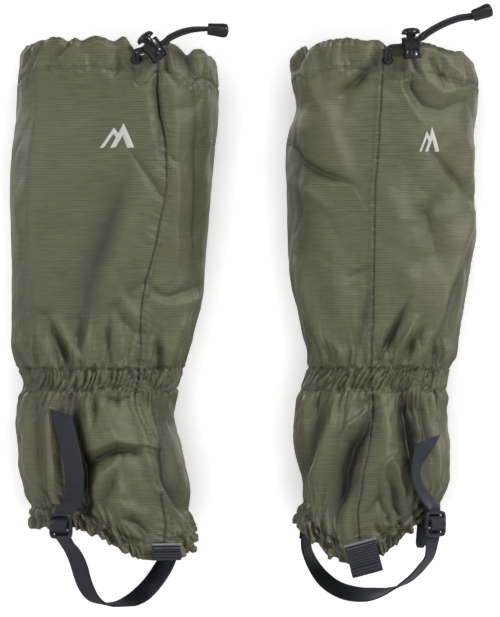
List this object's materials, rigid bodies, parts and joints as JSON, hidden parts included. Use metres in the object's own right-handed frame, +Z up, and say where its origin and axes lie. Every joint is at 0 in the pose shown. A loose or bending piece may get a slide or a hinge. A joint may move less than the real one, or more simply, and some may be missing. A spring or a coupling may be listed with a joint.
{
  "type": "gaiters",
  "caption": "Pair of knee-high hiking gaiters: nylon leg tubes with drawcord tops, elastic ankles, lace hooks and buckled straps under the boot.",
  "frame": {"origin": "centre of the pair's footprint, at the lowest point of the straps under the boots", "axes": "+Z up the leg, -Y forward to the toes and lace hooks, +X from the left_ gaiter to the right_ gaiter"},
  "size_m": [0.4124, 0.1382, 0.5138],
  "materials": {
    "nylon": "matte",
    "nylon_dark": "matte",
    "webbing": "matte",
    "cord": "matte",
    "plastic": "satin",
    "elastic": "matte",
    "metal": "satin",
    "zip_tape": "matte"
  },
  "bodies": {
    "left_boot": {"left_boot_outer_panel": "nylon", "left_boot_inner_panel": "nylon", "left_boot_front_seam": "nylon_dark", "left_bottom_hem_facing": "nylon_dark", "left_hem_elastic": "elastic", "left_ankle_band": "nylon", "left_ankle_elastic": "elastic", "left_buckle_webbing": "webbing", "left_strap_anchor": "webbing"},
    "left_calf": {"left_calf_outer_panel": "nylon", "left_calf_inner_panel": "nylon", "left_calf_front_seam": "nylon_dark", "left_top_hem_facing": "nylon_dark", "left_drawcord": "cord", "left_cord_exit_grommet": "plastic", "left_cord_end": "plastic", "left_outer_zip_tape": "zip_tape", "left_inner_zip_tape": "zip_tape"},
    "left_cord_lock": {"left_cord_lock_body": "plastic", "left_cord_lock_spring": "metal"},
    "left_plunger": {"left_cord_lock_plunger": "plastic"},
    "left_sole_loop": {"left_sole_strap": "webbing"},
    "left_buckle": {"left_ladder_buckle": "plastic", "left_strap_tail": "webbing"},
    "left_hook_tab": {"left_front_tab": "webbing", "left_lace_hook": "metal"},
    "left_slider": {"left_zip_slider": "metal"},
    "left_pull": {"left_zip_pull": "metal"},
    "right_boot": {"right_boot_outer_panel": "nylon", "right_boot_inner_panel": "nylon", "right_boot_front_seam": "nylon_dark", "right_bottom_hem_facing": "nylon_dark", "right_hem_elastic": "elastic", "right_ankle_band": "nylon", "right_ankle_elastic": "elastic", "right_buckle_webbing": "webbing", "right_strap_anchor": "webbing"},
    "right_calf": {"right_calf_outer_panel": "nylon", "right_calf_inner_panel": "nylon", "right_calf_front_seam": "nylon_dark", "right_top_hem_facing": "nylon_dark", "right_drawcord": "cord", "right_cord_exit_grommet": "plastic", "right_cord_end": "plastic", "right_outer_zip_tape": "zip_tape", "right_inner_zip_tape": "zip_tape"},
    "right_cord_lock": {"right_cord_lock_body": "plastic", "right_cord_lock_spring": "metal"},
    "right_plunger": {"right_cord_lock_plunger": "plastic"},
    "right_sole_loop": {"right_sole_strap": "webbing"},
    "right_buckle": {"right_ladder_buckle": "plastic", "right_strap_tail": "webbing"},
    "right_hook_tab": {"right_front_tab": "webbing", "right_lace_hook": "metal"},
    "right_slider": {"right_zip_slider": "metal"},
    "right_pull": {"right_zip_pull": "metal"}
  },
  "joints": [
    {"name": "left_ankle_flex", "type": "hinge", "parent": "left_boot", "child": "left_calf", "pos_m": [-0.12719, 0.00598, 0.194], "axis": [0.788, 0.6157, 0], "range_deg": [-10, 12], "stiffness_Nm_per_rad": 0.6, "deforming": ["left_ankle_band", "left_ankle_elastic"]},
    {"name": "left_cord_lock_slide", "type": "slide", "parent": "left_calf", "child": "left_cord_lock", "axis": [0.9397, 0, 0.342], "range_m": [0, 0.016]},
    {"name": "left_plunger_press", "type": "slide", "parent": "left_cord_lock", "child": "left_plunger", "axis": [0.342, 0, -0.9397], "range_m": [0, 0.0024], "stiffness_N_per_m": 2500, "springref_m": -0.001, "deforming": ["left_cord_lock_spring"]},
    {"name": "left_sole_strap_swing", "type": "hinge", "parent": "left_boot", "child": "left_sole_loop", "pos_m": [-0.15791, -0.05076, 0.0501], "axis": [0.7174, 0.6967, 0], "range_deg": [-25, 25]},
    {"name": "left_buckle_tilt", "type": "hinge", "parent": "left_boot", "child": "left_buckle", "pos_m": [-0.15956, -0.05302, 0.0705], "axis": [0.809, -0.5878, 0], "range_deg": [0, 25]},
    {"name": "left_tab_flip", "type": "hinge", "parent": "left_boot", "child": "left_hook_tab", "pos_m": [-0.06697, -0.04377, 0.0575], "axis": [-0.891, -0.454, 0], "range_deg": [0, 50]},
    {"name": "left_zip_slide", "type": "slide", "parent": "left_calf", "child": "left_slider", "axis": [-0.0546, -0.0546, -0.997], "range_m": [0, 0.234]},
    {"name": "left_pull_flip", "type": "hinge", "parent": "left_slider", "child": "left_pull", "pos_m": [-0.11257, 0.06736, 0.46222], "axis": [0.9985, -0.003, -0.0545], "range_deg": [0, 150]},
    {"name": "pair_spread", "type": "slide", "parent": "left_boot", "child": "right_boot", "axis": [1, 0, 0], "range_m": [0, 0.1]},
    {"name": "right_ankle_flex", "type": "hinge", "parent": "right_boot", "child": "right_calf", "pos_m": [0.11261, 0.00598, 0.194], "axis": [0.9816, -0.1908, 0], "range_deg": [-10, 12], "stiffness_Nm_per_rad": 0.6, "deforming": ["right_ankle_band", "right_ankle_elastic"]},
    {"name": "right_cord_lock_slide", "type": "slide", "parent": "right_calf", "child": "right_cord_lock", "axis": [0.9455, 0, 0.3256], "range_m": [0, 0.016]},
    {"name": "right_plunger_press", "type": "slide", "parent": "right_cord_lock", "child": "right_plunger", "axis": [0.3256, 0, -0.9455], "range_m": [0, 0.0024], "stiffness_N_per_m": 2500, "springref_m": -0.001, "deforming": ["right_cord_lock_spring"]},
    {"name": "right_sole_strap_swing", "type": "hinge", "parent": "right_boot", "child": "right_sole_loop", "pos_m": [0.15803, -0.03797, 0.0516], "axis": [-0.8572, 0.515, 0], "range_deg": [-25, 25]},
    {"name": "right_buckle_tilt", "type": "hinge", "parent": "right_boot", "child": "right_buckle", "pos_m": [0.15994, -0.04002, 0.072], "axis": [0.7314, 0.682, 0], "range_deg": [0, 25]},
    {"name": "right_tab_flip", "type": "hinge", "parent": "right_boot", "child": "right_hook_tab", "pos_m": [0.0958, -0.05405, 0.0542], "axis": [-0.9606, 0.101, -0.2588], "range_deg": [0, 50]},
    {"name": "right_zip_slide", "type": "slide", "parent": "right_calf", "child": "right_slider", "axis": [-0.0069, -0.0547, -0.9985], "range_m": [0, 0.234]},
    {"name": "right_pull_flip", "type": "hinge", "parent": "right_slider", "child": "right_pull", "pos_m": [0.11581, 0.06736, 0.46221], "axis": [1, -0.0004, -0.0069], "range_deg": [0, 150]}
  ]
}
